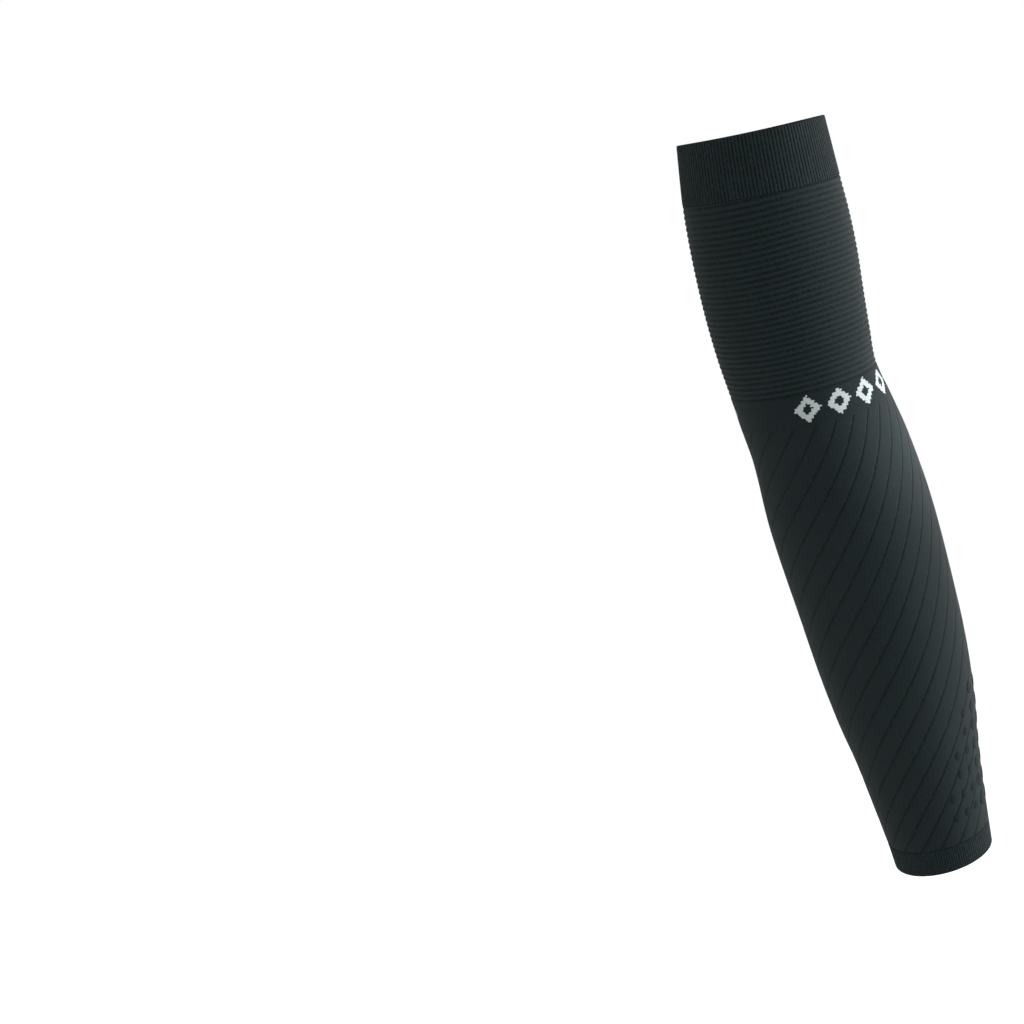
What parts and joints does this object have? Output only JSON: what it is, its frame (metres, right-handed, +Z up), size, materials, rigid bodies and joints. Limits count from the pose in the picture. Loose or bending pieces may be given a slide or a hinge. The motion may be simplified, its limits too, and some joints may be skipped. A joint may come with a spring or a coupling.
{
  "type": "arm compression sleeve",
  "caption": "Knitted compression sleeve for one arm, in its worn form: ribbed cuffs, ring-ribbed upper arm, elbow band, and a forearm with spiral grooves and raised grip dots.",
  "frame": {"origin": "centre of the upper opening, where the arm goes in", "axes": "+Z up, the arm hangs down from the origin; -Y is the front of the arm; +X is its outer side, to which the wrist is carried"},
  "size_m": [0.1777, 0.1091, 0.4212],
  "materials": {
    "rib_knit": "fine upright rib knit, near-black, matt",
    "ring_knit": "ring-ribbed knit, near-black, matt with a soft sheen at the edges",
    "band_knit": "plain knit, near-black, with a pale knitted motif",
    "spiral_knit": "plain knit with thin spiral grooves and raised dots, near-black, soft sheen"
  },
  "bodies": {
    "root": {"upper_cuff": "rib_knit", "upper_arm": "ring_knit", "elbow_band": "band_knit", "forearm": "spiral_knit", "wrist_cuff": "rib_knit"}
  },
  "joints": []
}
